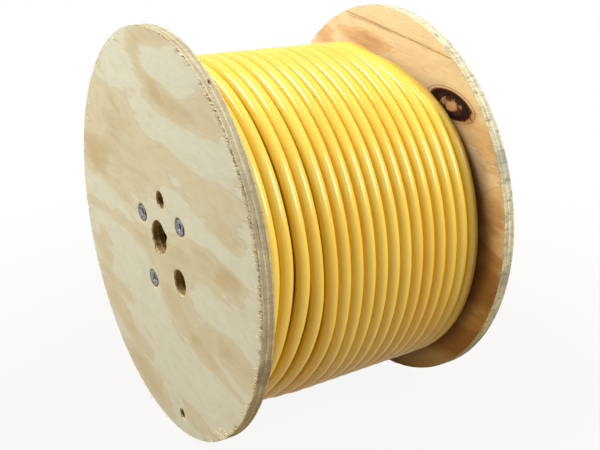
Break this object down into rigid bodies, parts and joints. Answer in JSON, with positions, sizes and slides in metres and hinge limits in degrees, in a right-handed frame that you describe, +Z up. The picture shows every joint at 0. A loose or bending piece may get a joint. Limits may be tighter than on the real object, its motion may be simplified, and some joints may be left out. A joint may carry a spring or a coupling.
{
  "type": "wire spool",
  "caption": "Plywood cable spool with a fibre drum, three tie bolts with tee nuts, and a full winding of thick round cable.",
  "frame": {"origin": "on the arbor axis, midway between the outer faces of the two flanges", "axes": "+Y along the arbor axis, from the front flange (tee nuts) to the rear flange (bolt heads); +Z up as the spool stands on its rims"},
  "size_m": [0.6099, 0.415, 0.61],
  "materials": {
    "plywood_front": "rough sawn plywood, unfinished",
    "plywood_rear": "rough sawn plywood, unfinished",
    "fibre_tube": "matte",
    "zinc_steel": "dull zinc plate",
    "staple_steel": "bright wire",
    "cable_jacket": "glossy"
  },
  "bodies": {
    "root": {"front_flange": "plywood_front", "rear_flange": "plywood_rear", "drum_tube": "fibre_tube", "tie_bolt_1": "zinc_steel", "tie_bolt_2": "zinc_steel", "tie_bolt_3": "zinc_steel", "bolt_washer_1": "zinc_steel", "bolt_washer_2": "zinc_steel", "bolt_washer_3": "zinc_steel", "tee_nut_1": "zinc_steel", "tee_nut_2": "zinc_steel", "tee_nut_3": "zinc_steel", "cable_inner_layers": "cable_jacket", "cable_outer_layer": "cable_jacket", "cable_inner_end": "cable_jacket", "cable_end_staple": "staple_steel"}
  },
  "joints": []
}
